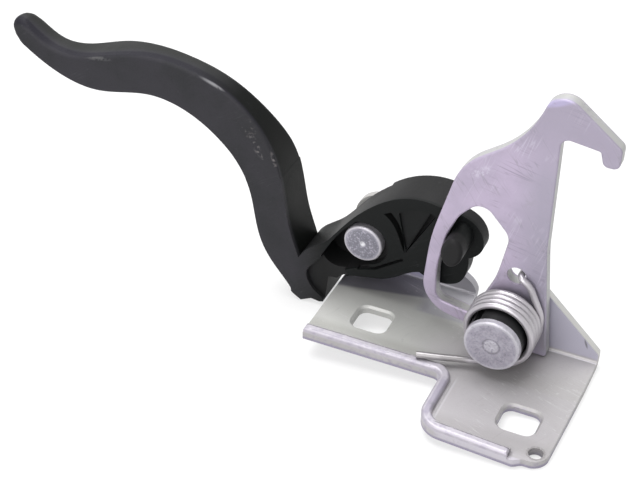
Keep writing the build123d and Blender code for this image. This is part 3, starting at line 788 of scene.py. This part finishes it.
# Where each rivet's axis lies, and the slice that holds its front head
hookPivot, leverPivot = (0, 0, 14.65), (-48.6, 0, 21.3)
hookHead = {"place": hookPivot, "across": (1, 0, 1), "bands": [(alongY, -20, -7, 0.5)]}
leverHead = {"place": leverPivot, "across": (1, 0, 1), "bands": [(alongY, 5, 13, 0.5)]}
rivetLook = {
    "base": (0.38, 0.365, 0.42), "dark": (0.22, 0.21, 0.25), "cloudScale": 420.0, "cloud": 0.55,
    "speckScale": 1300.0, "speck": 0.5, "rough": 0.40, "roughSpread": 0.2, "metal": 0.45, "specular": 0.5,
    "grainFine": 1800.0, "grainCoarse": 500.0, "bump": 0.35,
    "tints": [
        # Painted light: the shoulder is painted near white so that it shows lit through the bush's slot
        {"bands": [(alongY, -7.2, -2, 0.2)], "color": (0.80, 0.78, 0.80), "amount": 0.9},
    ],
    "rings": [
        {**hookHead, "inner": 2.15, "outer": 2.75, "soft": 0.25, "cut": 0.38,
         "color": (0.16, 0.15, 0.17), "amount": 0.6},
        {**hookHead, "inner": -1.0, "outer": 2.15, "soft": 0.5, "cut": 0.40,
         "color": (0.50, 0.49, 0.53), "amount": 0.7},
        {**hookHead, "inner": 3.6, "outer": 6.4, "soft": 1.4, "cut": 0.46,
         "color": (0.24, 0.23, 0.26), "amount": 0.5},
        {**hookHead, "inner": 7.4, "outer": 8.4, "soft": 0.4, "cut": 0.30,
         "color": (0.52, 0.51, 0.54), "amount": 0.6},
        {**leverHead, "inner": -1.0, "outer": 0.9, "soft": 0.3, "cut": 0.30,
         "color": (0.75, 0.75, 0.78), "amount": 0.8},
        {**leverHead, "inner": 0.9, "outer": 5.2, "soft": 1.0, "cut": 0.36,
         "color": (0.15, 0.15, 0.18), "amount": 0.85},
        {**leverHead, "inner": 5.5, "outer": 6.3, "soft": 0.3, "cut": 0.30,
         "color": (0.55, 0.54, 0.56), "amount": 0.6},
    ],
}
rivetFinishes = [
    {"node": "hook_rivet", "piece": "hookRivetFinished", "slot": "rivet_steel",
     "smooth": 35, "capY": -10.0, "pivot": hookPivot, "capRadius": 7.99, "recess": (2.4, 0.5),
     "coins": [(2.75, 0.0), (2.55, 0.12), (2.3, 0.0), (2.1, -0.1), (0.5, 0.0), (0.35, 0.1)]},
    {"node": "lever_rivet", "piece": "leverRivetFinished", "slot": "rivet_steel",
     "smooth": 35, "capY": 10.5, "pivot": leverPivot, "capRadius": 5.85, "recess": (1.1, 0.5),
     "coins": [(1.2, 0.0), (0.85, 0.2), (0.3, 0.08)]},
]
rivetZinc = makeSurface("rivetZinc", rivetLook)
for rivetFinish in rivetFinishes:
    rivet = copyNode(rivetFinish["node"], rivetFinish["piece"], rivetZinc)
    closeCap(rivet, rivetFinish)
    coinCap(rivet, rivetFinish)
    smoothPiece(rivet, rivetFinish)
    placePiece(rivetFinish["node"])
    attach(rivet, bodyOf[rivetFinish["node"]])
print("rivets finished")

bushLook = {
    "base": (0.007, 0.007, 0.008), "dark": (0.004, 0.004, 0.004), "cloudScale": 90.0, "cloud": 0.5,
    "speckScale": 1500.0, "speck": 0.1, "rough": 0.42, "roughSpread": 0.1, "metal": 0.0, "specular": 0.25,
    "grainFine": 2000.0, "grainCoarse": 300.0, "bump": 0.10,
}
bushFinish = {"node": "spring_bush", "piece": "bushFinished", "slot": "bush_plastic", "ease": 0.15,
              "steps": 2, "sharp": 35, "smooth": 35}
bush = copyNode(bushFinish["node"], bushFinish["piece"], makeSurface("bushBlack", bushLook))
easeEdges(bush, bushFinish)
smoothPiece(bush, bushFinish)
placePiece(bushFinish["node"])
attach(bush, bodyOf[bushFinish["node"]])
print("bush finished")

springLook = {
    "base": (0.46, 0.44, 0.465), "dark": (0.28, 0.265, 0.29), "cloudScale": 160.0, "cloud": 0.4,
    "speckScale": 1600.0, "speck": 0.1, "rough": 0.28, "roughSpread": 0.08, "metal": 0.6, "specular": 0.5,
    "grainFine": 2400.0, "grainCoarse": 250.0, "bump": 0.05,
    "tints": [
        # Front leg is duller than the coils
        {"bands": [(alongX, -30, -7.5, 2), (alongY, -20, -7, 1)], "color": (0.26, 0.25, 0.25),
         "amount": 0.85},
    ],
    "rings": [
        # Painted shade in the gaps between the coils
        {**hookHead, "bands": [(alongY, -2.9, 3.6, 0.1)], "inner": -1.0, "outer": 10.2, "soft": 0.12,
         "cut": 0.05, "color": (0.05, 0.05, 0.055), "amount": 0.9},
    ],
}
springFinish = {"node": "torsion_spring", "piece": "springFinished", "slot": "spring_steel", "smooth": 50,
                "still": (0, -4.7, 14.65), "turning": (0, 3.9, 14.65)}
spring = copyNode(springFinish["node"], springFinish["piece"], makeSurface("springZinc", springLook))
smoothPiece(spring, springFinish)
placePiece(springFinish["node"])
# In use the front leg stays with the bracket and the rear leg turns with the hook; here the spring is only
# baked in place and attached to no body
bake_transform(spring)
print("spring finished")


def addSeen(tree):
    # 1 for what the camera sees itself, in gloss or through clear material
    rays = tree.nodes.new("ShaderNodeLightPath").outputs
    seen = addMath(tree, "MAXIMUM", rays["Is Camera Ray"], rays["Is Glossy Ray"])
    return addMath(tree, "MAXIMUM", seen, rays["Is Transmission Ray"])


# The catch lies on the lever's root and the plate's right edge, so the floor slopes from one to the other
floorValues = {"size": 3.0, "low": (-68.9, -7.35), "high": (26.3, -0.05), "white": 0.86, "rough": 0.9,
               "glow": 0.62}
bpy.ops.object.select_all(action="DESELECT")
bpy.ops.mesh.primitive_plane_add(size=floorValues["size"])
floor = bpy.context.active_object
floor.name = "studioFloor"
(lowX, lowZ), (highX, highZ) = floorValues["low"], floorValues["high"]
slope = (highZ - lowZ) / (highX - lowX)
for vertex in floor.data.vertices:
    vertex.co.z = highZ * mm + (vertex.co.x - highX * mm) * slope
floorMat = bpy.data.materials.new("paleFloor")
floorMat.use_nodes = True
floorTree = floorMat.node_tree
floorShader = floorTree.nodes["Principled BSDF"]
floorShader.inputs["Base Color"].default_value = (floorValues["white"],) * 3 + (1,)
floorShader.inputs["Roughness"].default_value = floorValues["rough"]
floorShader.inputs["Specular IOR Level"].default_value = 0.0
glow = floorTree.nodes.new("ShaderNodeEmission")
glow.inputs["Color"].default_value = (1, 1, 1, 1)
glow.inputs["Strength"].default_value = 1.0
seen = addSeen(floorTree)
floorMix = floorTree.nodes.new("ShaderNodeMixShader")
floorTree.links.new(addMath(floorTree, "MULTIPLY", seen, floorValues["glow"]), floorMix.inputs[0])
floorTree.links.new(floorShader.outputs[0], floorMix.inputs[1])
floorTree.links.new(glow.outputs[0], floorMix.inputs[2])
floorTree.links.new(floorMix.outputs[0], floorTree.nodes["Material Output"].inputs["Surface"])
floor.data.materials.append(floorMat)

worldValues = {"level": 0.42, "seen": 1.0}
world = bpy.data.worlds.new("studioWorld")
bpy.context.scene.world = world
world.use_nodes = True
worldTree = world.node_tree
backdrop = worldTree.nodes["Background"]
worldLevel = addRange(worldTree, addSeen(worldTree), 0.0, 1.0, worldValues["level"], worldValues["seen"])
worldTree.links.new(worldLevel, backdrop.inputs["Strength"])
backdrop.inputs["Color"].default_value = (1, 1, 1, 1)

lampValues = [
    {"name": "softTop", "at": (-0.22, 0.12, 0.85), "aim": (-0.04, 0.0, 0.03), "size": 0.8, "power": 10.5,
     "tint": (1, 1, 1)},
    {"name": "softFront", "at": (-0.14, -0.75, 0.42), "aim": (-0.04, 0.0, 0.03), "size": 0.7, "power": 5.0,
     "tint": (1, 0.985, 1)},
]
for lamp in lampValues:
    light = bpy.data.lights.new(lamp["name"], "AREA")
    light.shape = "SQUARE"
    light.size = lamp["size"]
    light.energy = lamp["power"]
    light.color = lamp["tint"]
    holder = bpy.data.objects.new(lamp["name"], light)
    bpy.context.scene.collection.objects.link(holder)
    holder.location = lamp["at"]
    holder.rotation_euler = (Vector(lamp["aim"]) - Vector(lamp["at"])).to_track_quat("-Z", "Y").to_euler()

cameraValues = {"at": (89.11, -316.08, 287.99), "azimuth": 24.92, "elevation": 36.82, "roll": 0.142,
                "lens": 83.17, "sensor": 36.0}
turn = math.radians(cameraValues["azimuth"])
drop = math.radians(cameraValues["elevation"])
roll = math.radians(cameraValues["roll"])
ahead = Vector((-math.sin(turn) * math.cos(drop), math.cos(turn) * math.cos(drop), -math.sin(drop)))
across = Vector((math.cos(turn), math.sin(turn), 0))
above = across.cross(ahead)
right = across * math.cos(roll) + above * math.sin(roll)
up = right.cross(ahead)
cameraData = bpy.data.cameras.new("photoCamera")
cameraData.lens = cameraValues["lens"]
cameraData.sensor_width = cameraValues["sensor"]
camera = bpy.data.objects.new("photoCamera", cameraData)
bpy.context.scene.collection.objects.link(camera)
facing = Matrix((right, up, -ahead)).transposed().to_4x4()
camera.matrix_world = Matrix.Translation(Vector(cameraValues["at"]) * mm) @ facing
bpy.context.scene.camera = camera
bpy.context.scene.view_settings.view_transform = "Standard"
print("camera and lights set")
